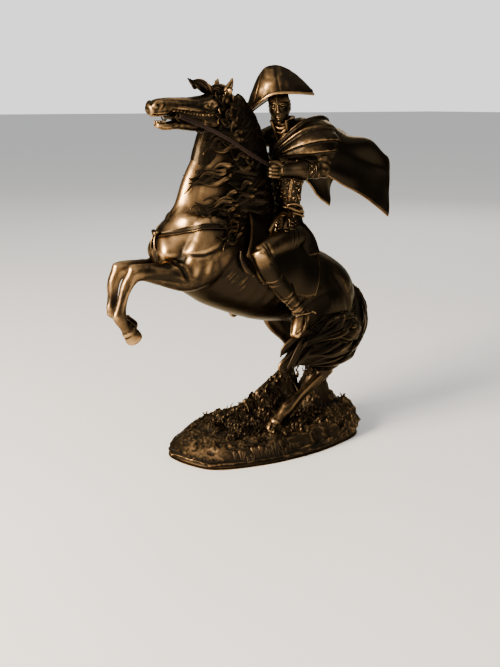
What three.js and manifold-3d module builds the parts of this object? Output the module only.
// Equestrian statuette in patinated bronze: an officer in a cloak and a two-cornered hat on a rearing
// horse, over a grassy ground base. Millimetres, +Z up, the horse heading towards -X with its left side
// towards -Y. The origin is on the underside of the base, below the horse's middle plane.
import * as THREE from "three";
import { mergeVertices } from "three/addons/utils/BufferGeometryUtils.js";
import Module from "manifold-3d";

const FIGURE_HEIGHT = 400; // from the ground under the hooves to the top of the hat
const POSE_HEIGHT = 400; // the height at which the stations below are written down
const BASE_LENGTH = 240;
const BASE_WIDTH = 127;
const BASE_CENTRE = { x: 6, y: -12 };
const BASE_SQUARENESS = 2.5; // 2 is an oval, more is squarer
const BASE_THICKNESS = 20; // underside to the ground between the hooves
const RIM_HEIGHT = 10; // the base's edge at the front
const RIM_HEIGHT_REAR = 29;
const TUFT_HEIGHT = 3;
const JOINT_GAP = 0.3; // clearance between neighbouring pieces
const CLOAK_THICKNESS = 2.4;
const CLOAK_FOLD_DEPTH = 6;
const CLOAK_FOLDS = 7;
const SADDLECLOTH_THICKNESS = 2.4;
const STRAP_THICKNESS = 1.8;
const STRAP_SINK = 5; // how deep the underside of a strap lies in the body it crosses
const REIN_WIDTH = 4;
const REIN_THICKNESS = 1.4;
const REIN_STEPS = 9;
const HEAD_TURN = 7; // degrees, the horse's head towards its left
const MANE_LOCKS = 11;
const FAR_MANE_LOCKS = 3;
const TAIL_LOCKS = 4; // loose tips beside the fluted mass of the tail
const LOCK_FLATNESS = 0.5; // a lock's thickness against its width

const wasm = await Module();
wasm.setup();

const rad = THREE.MathUtils.degToRad;
const mix = THREE.MathUtils.lerp;
const vec = (x, y, z) => new THREE.Vector3(x, y, z);
const UP = vec(0, 0, 1);
const ACROSS = vec(0, 1, 0);
const poseScale = FIGURE_HEIGHT / POSE_HEIGHT;
const posed = (x, y, z) => vec(x, y, z).multiplyScalar(poseScale);

// A merged, closed geometry as a manifold solid, turned to face outwards.
function solidOf(geometry) {
  const bare = geometry.clone();
  bare.deleteAttribute("normal");
  bare.deleteAttribute("uv");
  const merged = mergeVertices(bare, 1e-4);
  const triVerts = new Uint32Array(merged.index.array);
  const make = () =>
    new wasm.Manifold(
      new wasm.Mesh({ numProp: 3, vertProperties: merged.attributes.position.array, triVerts }),
    );
  const solid = make();
  if (solid.volume() > 0) return solid;
  for (let i = 0; i < triVerts.length; i += 3) {
    [triVerts[i + 1], triVerts[i + 2]] = [triVerts[i + 2], triVerts[i + 1]];
  }
  return make();
}

const joined = (geometries) => geometries.map(solidOf).reduce((all, next) => all.add(next));

// A solid's mesh without the sealed hollows that overlapping forms can leave between them.
function geometryOf(solid) {
  const { numProp, numVert, vertProperties, triVerts } = solid.getMesh();
  const positions = new Float32Array(numVert * 3);
  for (let i = 0; i < numVert; i++) {
    positions.set(vertProperties.subarray(i * numProp, i * numProp + 3), i * 3);
  }
  const corner = (i) => new THREE.Vector3().fromArray(positions, triVerts[i] * 3);
  const shell = Array.from({ length: numVert }, (_, i) => i);
  const rootOf = (i) => {
    while (shell[i] !== i) i = shell[i] = shell[shell[i]];
    return i;
  };
  for (let i = 0; i < triVerts.length; i++) {
    shell[rootOf(triVerts[i])] = rootOf(triVerts[i - (i % 3)]);
  }
  const volumes = new Map();
  for (let i = 0; i < triVerts.length; i += 3) {
    const root = rootOf(triVerts[i]);
    const sixth = corner(i).dot(corner(i + 1).cross(corner(i + 2)));
    volumes.set(root, (volumes.get(root) ?? 0) + sixth);
  }
  const outer = Array.from(triVerts).filter((_, i) => volumes.get(rootOf(triVerts[i])) > 0);
  const geometry = new THREE.BufferGeometry();
  geometry.setAttribute("position", new THREE.BufferAttribute(positions, 3));
  geometry.setIndex(outer);
  geometry.computeVertexNormals();
  return geometry;
}

// A form carried along a smooth path. Each station is [x, y, z, half-width, half-depth, turn], written
// for a figure POSE_HEIGHT tall. The width lies along the side direction, the depth across it and the
// path, and turn swings the side direction about the vertical, in degrees. Flutes carve furrows along
// the form, as in hair and cloth.
class Form {
  constructor(stations, side = ACROSS, flutes = { count: 0, depth: 0, twist: 0 }) {
    const smooth = (points) => new THREE.CatmullRomCurve3(points, false, "catmullrom");
    this.path = smooth(stations.map(([x, y, z]) => posed(x, y, z)));
    this.size = smooth(
      stations.map(([, , , width, depth, turn = 0]) => vec(width * poseScale, depth * poseScale, turn)),
    );
    this.side = side;
    this.flutes = flutes;
  }

  // Centre, side and depth directions and half-sizes at the share t of the path.
  section(t) {
    const along = THREE.MathUtils.clamp(t, 0, 1);
    const centre = this.path.getPoint(along);
    const tangent = this.path.getTangent(along);
    const { x: width, y: depth, z: turn } = this.size.getPoint(along);
    const side = this.side.clone().applyAxisAngle(UP, rad(turn));
    side.addScaledVector(tangent, -side.dot(tangent)).normalize();
    return { centre, tangent, side, out: tangent.clone().cross(side), width, depth };
  }

  // A point on the surface, or lift above it. Angle 0 is against the side direction, 90 is along out.
  surface(t, degrees, lift = 0) {
    const { centre, side, out, width, depth } = this.section(t);
    const { count, depth: carved, twist } = this.flutes;
    const ridge = 1 + carved * Math.cos(count * rad(degrees) + twist * t);
    return centre
      .addScaledVector(side, -Math.cos(rad(degrees)) * (width * ridge + lift))
      .addScaledVector(out, Math.sin(rad(degrees)) * (depth * ridge + lift));
  }

  // The closed form: a sphere whose rings are carried to the sections of the path.
  geometry(around = 12, along = 10, lift = 0) {
    const sphere = new THREE.SphereGeometry(1, around, along);
    const position = sphere.attributes.position;
    for (let ring = 0, i = 0; ring <= along; ring++) {
      for (let step = 0; step <= around; step++, i++) {
        const point =
          ring === 0 || ring === along
            ? this.cap(ring === 0 ? 0 : 1, lift)
            : this.surface((ring - 1) / (along - 2), (360 * (step % around)) / around, lift);
        position.setXYZ(i, point.x, point.y, point.z);
      }
    }
    return sphere;
  }

  cap(end, lift) {
    const { centre, tangent, width, depth } = this.section(end);
    return centre.addScaledVector(tangent, (end ? 1 : -1) * (0.45 * Math.min(width, depth) + lift));
  }
}

const form = (stations, side, flutes) => new Form(stations, side, flutes);
const mirrored = (stations) => stations.map(([x, y, z, w, d, turn = 0]) => [x, -y, z, w, d, -turn]);

// A closed slab whose two faces follow point(u, v, w), with u and v from 0 to 1 and w 0 below, 1 above.
function slab(point, across, along) {
  const box = new THREE.BoxGeometry(1, 1, 1, across, along, 1);
  const position = box.attributes.position;
  for (let i = 0; i < position.count; i++) {
    const p = point(position.getX(i) + 0.5, position.getY(i) + 0.5, position.getZ(i) + 0.5);
    position.setXYZ(i, p.x, p.y, p.z);
  }
  return box;
}

// A sheet of even thickness about the surface point(u, v).
function sheet(point, thickness, across, along) {
  const step = 0.01;
  return slab(
    (u, v, w) => {
      const du = point(Math.min(u + step, 1), v).sub(point(Math.max(u - step, 0), v));
      const dv = point(u, Math.min(v + step, 1)).sub(point(u, Math.max(v - step, 0)));
      return point(u, v).addScaledVector(du.cross(dv).normalize(), (w - 0.5) * thickness);
    },
    across,
    along,
  );
}

// A band of a form's surface between two shares of its path and two angles, standing proud of it.
function wrap(body, [t0, t1], [angle0, angle1], thickness, across, along, sunk = STRAP_SINK) {
  return slab(
    (u, v, w) => body.surface(mix(t0, t1, u), mix(angle0, angle1, v), mix(-sunk, thickness, w)),
    across,
    along,
  );
}

// A flat strap along points, as an extruded rectangle.
function strap(points, width, thickness, steps) {
  const path = new THREE.CatmullRomCurve3(points, false, "catmullrom");
  const section = new THREE.Shape([
    new THREE.Vector2(-thickness / 2, -width / 2),
    new THREE.Vector2(thickness / 2, -width / 2),
    new THREE.Vector2(thickness / 2, width / 2),
    new THREE.Vector2(-thickness / 2, width / 2),
  ]);
  return new THREE.ExtrudeGeometry(section, { extrudePath: path, steps, bevelEnabled: false });
}

// A flat lock of hair that starts on a body's crest, crosses its surface in waves and curls at the tip.
function lock(body, { t, fall, from, to, phase, width, lift, wave = 0.05 }) {
  const last = 4;
  const stations = Array.from({ length: last + 1 }, (_, i) => {
    const u = i / last;
    const sway = wave * Math.sin(phase + 5.5 * u) * (0.2 + u);
    const raise = lift * (0.2 + 0.4 * Math.sin(Math.PI * u) + 0.4 * u * u) * poseScale;
    const p = body.surface(t - fall * u + sway, mix(from, to, u), raise).divideScalar(poseScale);
    const taper = 1 - 0.75 * u ** 2.4;
    return [p.x, p.y, p.z, width * taper * LOCK_FLATNESS, width * taper];
  });
  return form(stations, vec(0, 1, 0.01)).geometry(4, 5);
}

// Horse, from the breast to the buttock, and from the withers to the poll.
const trunk = form([
  [-122, 0, 213, 17, 19],
  [-108, 0, 213, 30, 33],
  [-86, 0, 211, 39, 47],
  [-50, 0, 201, 43, 56],
  [4, 0, 175, 46, 52],
  [46, 0, 162, 43, 46],
  [82, 0, 149, 42, 43],
  [108, 0, 139, 36, 34],
  [126, 0, 134, 20, 18],
]);
const neck = form([
  [-52, 0, 214, 36, 56],
  [-46, 0, 240, 31, 59],
  [-42, 0, 268, 26, 54],
  [-38, 0, 300, 20, 45],
  [-39, 0, 332, 16, 36],
  [-42, 0, 354, 13, 25],
  [-46, 0, 367, 9, 13],
]);
const POLL = posed(-44, 0, 358);
const skull = form([
  [-44, 0, 359, 10, 13],
  [-57, 0, 354, 15, 18.5],
  [-69, 0, 352, 16.5, 18.5],
  [-85, 0, 353.5, 12.5, 15],
  [-102, 0, 357, 9.5, 10.5],
  [-118, 0, 358, 8.5, 9],
  [-130, 0, 357, 9.5, 8.5],
  [-138, 0, 355, 7, 6],
]);
const jaw = form([
  [-62, 0, 342, 9.5, 9],
  [-86, 0, 340.5, 7, 7],
  [-106, 0, 340.5, 5.5, 5],
  [-120, 0, 339, 6, 4.2],
  [-130, 0, 340.5, 4.5, 3],
]);
const ear = [
  [-50, -8, 366, 4, 3.5],
  [-46, -10, 376, 4.6, 3],
  [-40, -11.5, 389, 1.4, 1],
];
const eyebrow = [
  [-62, -12, 359, 3.5, 3.5],
  [-69, -13.8, 360, 4, 4.5],
  [-78, -11.5, 357, 3, 3.5],
];
const cheek = [
  [-54, -8, 350, 6, 13],
  [-71, -9, 347, 6, 11],
];
const forearm = [
  [-52, -25, 246, 13, 22],
  [-68, -30, 224, 15, 30],
  [-88, -31, 203, 15, 27],
  [-106, -29, 189, 13, 18],
  [-128, -26, 191, 10, 13.5],
  [-151, -24, 196, 8, 9.6],
  [-166, -24, 197, 8.2, 9],
];
const nearShin = [
  [-164, -24, 199, 8, 8.6],
  [-174, -24, 185, 6.4, 7.2],
  [-180, -24, 168, 5, 6],
  [-183, -24, 154, 6.4, 7.6],
  [-178, -24, 144, 5.4, 6.2],
  [-173, -24, 138, 7.4, 8.4],
  [-167, -24, 128, 8.6, 9.8],
];
const farShin = [
  [-157, 24, 195, 8, 8.6],
  [-165, 24, 181, 6.4, 7.2],
  [-167, 24, 164, 5, 6],
  [-167, 24, 150, 6.4, 7.6],
  [-160, 24, 141, 5.4, 6.2],
  [-154, 24, 136, 7.4, 8.4],
  [-146, 24, 128, 8.6, 9.8],
];
const hindquarter = [
  [94, -20, 146, 22, 36],
  [68, -28, 130, 21, 34],
  [48, -33, 118, 15, 24],
  [50, -33, 104, 13, 20],
  [63, -31, 84, 10, 14],
  [77, -29, 62, 8, 11.5],
];
const hindshin = [
  [82, -28, 61, 7, 10.4],
  [66, -28, 49, 6.2, 8],
  [42, -28, 33, 5.4, 6.8],
  [20, -28, 18, 6.8, 8],
  [12, -28, 11, 5.8, 6.8],
  [7, -28, 6, 7.8, 8.6],
  [0, -28, -3, 9, 10.4],
];
const FAR_FORE_SHIFT = vec(8, 0, -4); // the far leg of each pair against the mirrored near one
const FAR_HIND_SHIFT = vec(6, 0, 6);
const tail = form(
  [
    [118, 0, 152, 8, 9],
    [130, -5, 142, 9, 12],
    [131, -14, 124, 11, 14],
    [112, -27, 106, 13, 20],
    [92, -40, 100, 13, 26],
    [66, -50, 97, 12, 28],
    [36, -53, 94, 10, 21],
    [10, -52, 88, 6, 10],
  ],
  ACROSS,
  { count: 6, depth: 0.14, twist: 4 },
);

const shifted = (stations, { x, y, z }) =>
  stations.map(([px, py, pz, ...rest]) => [px + x, py + y, pz + z, ...rest]);

const farHind = (stations) => shifted(mirrored(stations), FAR_HIND_SHIFT);
const hindlegs = [hindquarter, hindshin].flatMap((stations) => [stations, farHind(stations)]);
const forelegs = [
  forearm,
  shifted(mirrored(forearm), FAR_FORE_SHIFT),
  nearShin,
  farShin,
];
const legGeometries = (legs, lift = 0) =>
  legs.map((stations) => form(stations).geometry(6, stations.length + 1, lift));

// Turns geometries about a pivot: first a tilt about X, then a turn about the vertical, in degrees.
const turned = (geometries, pivot, turn, tilt = 0) =>
  geometries.map((geometry) =>
    geometry
      .translate(-pivot.x, -pivot.y, -pivot.z)
      .rotateX(rad(tilt))
      .rotateZ(rad(turn))
      .translate(pivot.x, pivot.y, pivot.z),
  );
const headTurned = (geometries) => turned(geometries, POLL, HEAD_TURN);

function horseHead() {
  const paired = (stations, around, along) =>
    [stations, mirrored(stations)].map((side) => form(side).geometry(around, along));
  return headTurned([
    skull.geometry(10, 9),
    jaw.geometry(6, 6),
    ...paired(ear, 4, 4),
    ...paired(eyebrow, 5, 4),
    ...paired(cheek, 6, 3),
  ]);
}

// Locks in a row along a body's crest, their waves out of step.
function lockRow(body, count, settings) {
  return Array.from({ length: count }, (_, i) => {
    const share = i / (count - 1);
    const swing = Math.sin(2.4 * i);
    return lock(body, { phase: 1.9 * i, ...settings(share, swing) });
  });
}

function mane() {
  const near = lockRow(neck, MANE_LOCKS, (share, swing) => ({
    t: mix(0.12, 0.95, share),
    fall: 0.09 + 0.05 * swing,
    from: -62,
    to: mix(14, 2, share) + 28 * swing,
    width: 8.5,
    lift: 3.2,
  }));
  const far = lockRow(neck, FAR_MANE_LOCKS, (share, swing) => ({
    t: mix(0.16, 0.95, share),
    fall: 0.14,
    from: 242,
    to: 184 + 18 * swing,
    width: 9,
    lift: 3.2,
  }));
  const forelock = [-8, 5].map((y, i) =>
    form([
      [-48, y * 0.4, 371, 4, 4],
      [-64, y * 0.8, 375 + i, 3.2, 3.2],
      [-84, y * 1.3, 376 - 2 * i, 1.2, 1.2],
    ]).geometry(3, 5),
  );
  return [...near, ...far, ...headTurned(forelock)];
}

function tailHair() {
  const tips = lockRow(tail, TAIL_LOCKS, (share, swing) => ({
    t: mix(0.5, 0.8, share),
    fall: -0.3,
    from: mix(-20, 50, share) + 10 * swing,
    to: mix(-75, 60, share),
    width: 8,
    lift: 3,
    wave: 0.03,
  }));
  return [tail.geometry(18, 8), ...tips];
}

function saddlery() {
  const seat = form([
    [0, 0, 229, 15, 10],
    [12, 0, 215, 20, 12],
    [34, 0, 205, 24, 12],
    [52, 0, 201, 20, 12],
    [64, 0, 209, 15, 8],
  ]).geometry(9, 6);
  const cloth = (angles) => wrap(trunk, [0.375, 0.63], angles, SADDLECLOTH_THICKNESS, 3, 4);
  const stirrups = [-1, 1].map((side) =>
    new THREE.TorusGeometry(10.5, 1.6, 4, 7)
      .rotateY(rad(-68))
      .translate(11, 58.5 * side, 127)
      .scale(poseScale, poseScale, poseScale),
  );
  return [seat, cloth([66, -12]), cloth([114, 192]), ...stirrups];
}

// The breast strap meets at a knot in front and runs back to the saddle along both shoulders.
function breastStrap() {
  const run = [
    [-40, 42, 235],
    [-70, 41, 239],
    [-97, 33, 240],
    [-116, 20, 236],
    [-126, 0, 231],
  ];
  const both = [...run, ...run.slice(0, -1).reverse().map(([x, y, z]) => [x, -y, z])];
  const band = form(both.map((point) => [...point, 3.4, 3.4]), UP).geometry(3, 9);
  const knot = form([
    [-124, -6, 231, 3, 3],
    [-128, 0, 231, 5.4, 4.4],
    [-124, 6, 231, 3, 3],
  ]).geometry(4, 4);
  return [band, knot];
}

function bridle() {
  const noseband = wrap(skull, [0.6, 0.64], [30, -210], STRAP_THICKNESS * 0.7, 1, 5, 3);
  const cheekpieces = [
    [-20, 4],
    [176, 200],
  ].map((angles) => wrap(skull, [0.2, 0.72], angles, 1.4, 3, 1, 3));
  return headTurned([noseband, ...cheekpieces]);
}

// The rider, from the seat in the saddle to the collar.
const torso = form([
  [45, -1, 204, 19, 17, 4],
  [43, -1, 224, 19, 16, 9],
  [39, -2, 246, 15.5, 13, 16],
  [37, -3, 274, 19, 15, 24],
  [38, -3, 302, 22, 15.5, 30],
  [39, -3, 322, 21, 12, 33],
  [38, -4, 336, 10, 9, 33],
]);
const HEAD_CENTRE = { x: 24, y: -7, z: 357 };
const FACE_TURN = 46; // degrees, the rider's face from the heading towards the left
const HEAD_TILT = 5; // degrees, towards the rider's right shoulder
const HAT_TILT = 8; // degrees more than the head
const HAT_SPAN = 80;
const leftArm = [
  [58, -30, 322, 9, 10],
  [60, -38, 308, 9, 10],
  [54, -47, 293, 7.6, 8.4],
];
const leftForearm = [
  [58, -46, 291, 8.4, 9],
  [44, -41, 291, 8.6, 9],
  [30, -34, 291, 8.8, 9.4],
  [28, -33, 291, 6, 6.4],
  [18, -26, 290, 5.6, 6],
];
const leftFist = [
  [20, -27, 290, 5, 6],
  [10, -21, 290, 5.8, 7.6],
  [3, -17, 289, 4.6, 6.4],
];
const rightArm = [
  [18, 24, 322, 9, 10],
  [9, 35, 306, 8.8, 9.4],
  [4, 41, 289, 7.6, 8.4],
];
const rightForearm = [
  [6, 42, 287, 8.4, 9],
  [-2, 37, 275, 8.6, 9],
  [-8, 31, 263, 8.6, 9],
  [-9, 30, 261, 5.8, 6.2],
  [-12, 26, 254, 5.4, 5.8],
];
const rightFist = [
  [-11, 26, 255, 5.6, 6.4],
  [-13, 20, 248, 6, 7],
  [-12, 13, 243, 4.6, 6],
];
const thigh = [
  [38, -18, 215, 14, 16],
  [10, -35, 216, 13, 15],
  [-16, -47, 213, 11, 12.5],
  [-32, -51, 207, 9.6, 10.4],
];
const boot = [
  [-33, -51, 212, 9, 9],
  [-28, -51.5, 201, 11.4, 11.8],
  [-20, -52, 188, 9.6, 10],
  [-4, -54, 167, 8.6, 9.2],
  [10, -56, 150, 6, 6.4],
  [18, -56, 139, 6.4, 7.4],
];
const foot = [
  [25, -56, 139, 5.6, 5.6],
  [18, -57, 132, 6, 7.6],
  [6, -60, 122, 5.6, 6],
  [-3, -62, 115, 4, 3.8],
];

function riderBody() {
  const arms = [leftArm, leftForearm, leftFist, rightArm, rightForearm, rightFist];
  const legs = [thigh, boot, foot].flatMap((stations) => [stations, mirrored(stations)]);
  return [
    torso.geometry(10, 8),
    ...[...arms, ...legs].map((stations) => form(stations).geometry(7, stations.length)),
  ];
}

// Coat skirts and the fringed sash that falls over the near hip.
function coatAndSash() {
  const sash = wrap(torso, [0.22, 0.34], [8, 352], 3.2, 1, 6, 4);
  const skirts = [-1, 1].map((side) =>
    form([
      [44, 14 * side, 224, 9, 12],
      [49, 24 * side, 211, 8, 13],
      [50, 35 * side, 197, 4, 12],
    ]).geometry(5, 4),
  );
  const fringe = [0, 1].map((i) =>
    form([
      [24 + 8 * i, -20, 242, 4, 5],
      [10 + 12 * i, -31, 232, 4.4, 7],
      [-4 + 16 * i, -40, 224 - 2 * i, 2.6, 5.4],
    ]).geometry(5, 5),
  );
  return [sash, ...skirts, ...fringe];
}

// Turns what is modelled facing -X into the rider's look.
function facing(geometries, tilt = HEAD_TILT) {
  return turned(geometries, posed(...Object.values(HEAD_CENTRE)), FACE_TURN, -tilt);
}

function riderHead() {
  const { x, y, z } = HEAD_CENTRE;
  const skullForm = form([
    [x - 6, y, z - 18, 5, 6],
    [x - 3, y, z - 12.5, 8.4, 10.6],
    [x - 0.5, y, z - 4, 11, 13],
    [x, y, z + 5, 12, 14.5],
    [x + 0.5, y, z + 14, 10.5, 12.5],
  ]);
  const nose = form([
    [x - 13, y, z + 4, 1.6, 1.8],
    [x - 16.2, y, z - 4, 2.4, 2],
  ]);
  const brow = form(
    [
      [x - 11, y - 8, z + 5.5, 1.6, 2],
      [x - 14, y, z + 5.5, 1.6, 2.2],
      [x - 11, y + 8, z + 5.5, 1.6, 2],
    ],
    UP,
  );
  const collar = form([
    [37, -4, 330, 10, 11],
    [30, -6, 339, 9, 10],
    [28, -7, 349, 8.4, 9],
  ]).geometry(7, 4);
  return [
    collar,
    ...facing([
      skullForm.geometry(10, 7),
      nose.geometry(4, 4),
      brow.geometry(4, 5),
    ]),
  ];
}

// The two-cornered hat: a lens in plan that arches from corner to corner.
function hat() {
  const { x, y, z } = HEAD_CENTRE;
  const brim = 13; // height of the brim and the crown over the head's centre
  const crown = 44;
  const arch = (u, v, w) => {
    const s = 2 * u - 1;
    const bottom = mix(brim, 0, Math.abs(s) ** 1.7);
    const top = mix(crown, 4, Math.abs(s) ** 1.8);
    const flare = 2 * Math.sin(Math.PI * v) + 4 * (1 - v);
    const half = (13.5 + flare) * (1 - Math.abs(s) ** 2.2) + 1.8;
    const roof = 1 - 0.72 * v ** 2.5;
    return posed(x + (0.5 - w) * 2 * half * roof, y + (s * HAT_SPAN) / 2, z + mix(bottom, top, v));
  };
  return facing([slab(arch, 10, 3)], HEAD_TILT + HAT_TILT);
}

// The cloak: wound over the left shoulder and streaming behind the rider.
const cloakRidge = new THREE.CatmullRomCurve3([
  vec(44, -6, 332),
  vec(68, -8, 338),
  vec(100, -4, 330),
  vec(134, 0, 322),
  vec(164, 2, 306),
]);

function cloakPoint(u, v) {
  const s = 2 * u - 1; // -1 on the near edge, +1 on the far edge
  const centre = cloakRidge.getPoint(v);
  const half = mix(26, 50, v ** 0.7);
  const drop = mix(34, 84, v ** 0.5);
  const arc = s * rad(80);
  const folds = Math.sin(CLOAK_FOLDS * Math.PI * u + 1.4 * v) * CLOAK_FOLD_DEPTH * v ** 0.7;
  const hem = 8 * Math.sin(5 * u + 1) * v ** 2;
  const billow = 0.8 * folds * (1 - s * s) + 4 * Math.sin(3 * v + 2 * s);
  return posed(
    centre.x - 26 * s * s * v + hem,
    centre.y + Math.sin(arc) * (half + folds),
    centre.z - (1 - Math.cos(arc)) * (drop + folds) + billow,
  );
}

function cloak() {
  const flying = sheet(cloakPoint, CLOAK_THICKNESS, 12, 5);
  const mantle = form(
    [
      [24, 5, 305, 9, 7],
      [32, -14, 315, 15, 11],
      [46, -30, 323, 22, 14],
      [62, -35, 325, 25, 14],
      [78, -26, 324, 23, 12],
    ],
    vec(-0.1, 0.4, 1).normalize(),
    { count: 5, depth: 0.12, twist: -1.5 },
  );
  const yoke = form(
    [
      [17, 26, 320, 10, 11],
      [36, 8, 330, 11, 16],
      [52, -14, 336, 11, 17],
    ],
    UP,
  );
  return [flying, mantle.geometry(15, 7), yoke.geometry(6, 4)];
}

// The ground: a blunt oval, higher at the rear, with tufts of grass, a bank that the far leg is sunk in
// and a stump behind the near hock.
const BANK = { start: -2, end: 62, low: 8, high: 52, y: 25, reach: 14, tail: 13 };
const STUMP = { height: 42, x: 88, y: 6, reachX: 19, reachY: 17 };

function rimPoint(angle) {
  const wobble = 1 + 0.018 * Math.sin(3 * angle + 0.6) + 0.012 * Math.sin(7 * angle);
  const blunt = (value) => Math.sign(value) * Math.abs(value) ** (2 / BASE_SQUARENESS);
  return vec(
    BASE_CENTRE.x + (BASE_LENGTH / 2) * blunt(Math.cos(angle)) * wobble,
    BASE_CENTRE.y + (BASE_WIDTH / 2) * blunt(Math.sin(angle)) * wobble,
    0,
  );
}

const rimHeight = (x, y) =>
  mix(RIM_HEIGHT, RIM_HEIGHT_REAR, THREE.MathUtils.smoothstep(x + 0.5 * y, 10, 110)) +
  6 * THREE.MathUtils.smoothstep(y, 0, 50);

// A mound under the figure, given in the figure's own stations.
function mound(x, y, height, centreX, centreY, reachX, reachY) {
  const across = (x / poseScale - centreX) / reachX;
  const along = (y / poseScale - centreY) / reachY;
  return height * poseScale * Math.exp(-(across ** 2) - along ** 2);
}

// The bank rises along the far cannon bone, given in the figure's own stations.
function bankHeight(x, y) {
  const along = (x / poseScale - BANK.start) / (BANK.end - BANK.start);
  const past = Math.max(0, along < 0 ? BANK.start - x / poseScale : x / poseScale - BANK.end);
  const aside = (y / poseScale - BANK.y) / BANK.reach;
  const rise = mix(BANK.low, BANK.high, THREE.MathUtils.clamp(along, 0, 1));
  return rise * poseScale * Math.exp(-(aside ** 2) - (past / BANK.tail) ** 2);
}

// The stump has a flat top and steep sides.
function stumpHeight(x, y) {
  const across = (x / poseScale - STUMP.x) / STUMP.reachX;
  const along = (y / poseScale - STUMP.y) / STUMP.reachY;
  return STUMP.height * poseScale * Math.exp(-((across ** 2 + along ** 2) ** 2));
}

function groundHeight(x, y, share) {
  const inner = 1 - THREE.MathUtils.smoothstep(share, 0.78, 1);
  const swell = mound(x, y, 9, -30, 34, 40, 22) + mound(x, y, 8, 80, 10, 40, 40);
  const bank = Math.max(bankHeight(x, y), stumpHeight(x, y));
  const rows = Math.sin(0.25 * x + 1.7 * Math.sin(0.13 * y)) * Math.cos(0.31 * y + 0.1 * x);
  const tufts = TUFT_HEIGHT * Math.abs(rows) * Math.min(1, 6 * (1 - share));
  return mix(rimHeight(x, y), BASE_THICKNESS + swell + bank, inner) + tufts;
}

function groundBase() {
  const around = 29;
  const topRings = 8;
  const rings = topRings + 3;
  const sphere = new THREE.SphereGeometry(1, around, rings);
  const position = sphere.attributes.position;
  for (let ring = 0, i = 0; ring <= rings; ring++) {
    for (let step = 0; step <= around; step++, i++) {
      const rim = rimPoint((-2 * Math.PI * (step % around)) / around);
      const share = Math.min(ring / topRings, 1);
      const x = mix(BASE_CENTRE.x, rim.x, share);
      const y = mix(BASE_CENTRE.y, rim.y, share);
      const down = (ring - topRings) / 2;
      if (ring === rings) position.setXYZ(i, BASE_CENTRE.x, BASE_CENTRE.y, 0);
      else if (down > 0) position.setXYZ(i, x, y, rimHeight(x, y) * (1 - down));
      else position.setXYZ(i, x, y, groundHeight(x, y, share));
    }
  }
  return solidOf(sphere);
}

// Points of a rein in pose coordinates, from the bit ring to the hand.
const onHead = (x, y, z) => posed(x, y, z).sub(POLL).applyAxisAngle(UP, rad(HEAD_TURN)).add(POLL);
const nearRein = [
  onHead(-111, -13, 349),
  posed(-84, -21, 340),
  posed(-56, -27, 326),
  posed(-28, -30, 309),
  posed(-6, -26, 299),
  posed(7, -19, 295),
];
const farRein = [
  onHead(-111, 13, 349),
  posed(-84, 16, 342),
  posed(-56, 26, 330),
  posed(-34, 30, 306),
  posed(-22, 28, 274),
  posed(-13, 20, 251),
];

// A slot runs on past both ends of its rein by the clearance.
function rein(points, extra = 0) {
  const past = (end, inner) => end.clone().add(end.clone().sub(inner).setLength(extra));
  const run = [past(points[0], points[1]), ...points.slice(1, -1), past(points.at(-1), points.at(-2))];
  return strap(run, REIN_WIDTH + 2 * extra, REIN_THICKNESS + 2 * extra, REIN_STEPS);
}

// The bit, across the corners of the mouth.
const bit = () =>
  headTurned([
    form([-11, -4, 4, 11].map((y) => [-111, y, 348, Math.abs(y) > 9 ? 4.2 : 3.4, 3.6]), UP).geometry(6, 5),
  ]);

const bronze = new THREE.MeshStandardMaterial({ color: 0x4b331c, roughness: 0.36, metalness: 1 });
const groundBronze = new THREE.MeshStandardMaterial({ color: 0x3d2d18, roughness: 0.5, metalness: 1 });
const reinStrip = new THREE.MeshStandardMaterial({ color: 0x4a3a34, roughness: 0.6, metalness: 0.8 });

const statuette = new THREE.Group();
statuette.name = "equestrian_statuette";
const figure = new THREE.Group();
figure.position.z = BASE_THICKNESS;
statuette.add(figure);

function addPiece(parent, name, geometry, material) {
  const mesh = new THREE.Mesh(geometry, material);
  mesh.name = name;
  parent.add(mesh);
}

const group = joined([
  trunk.geometry(12, 9),
  neck.geometry(12, 8),
  ...horseHead(),
  ...legGeometries(forelegs),
  ...legGeometries(hindlegs),
  ...mane(),
  ...tailHair(),
  ...saddlery(),
  ...breastStrap(),
  ...bridle(),
  ...bit(),
  ...riderBody(),
  ...coatAndSash(),
  ...riderHead(),
  ...hat(),
  ...cloak(),
]);

// The group is let into the ground by its hooves and holds the reins in clearance slots.
const slots = joined([rein(nearRein, JOINT_GAP), rein(farRein, JOINT_GAP)]);
addPiece(figure, "horse_and_rider", geometryOf(group.subtract(slots)), bronze);
addPiece(figure, "near_rein", rein(nearRein), reinStrip);
addPiece(figure, "far_rein", rein(farRein), reinStrip);

const pocket = joined(legGeometries(hindlegs, JOINT_GAP)).translate([0, 0, BASE_THICKNESS]);
addPiece(statuette, "ground_base", geometryOf(groundBase().subtract(pocket)), groundBronze);

export default statuette;
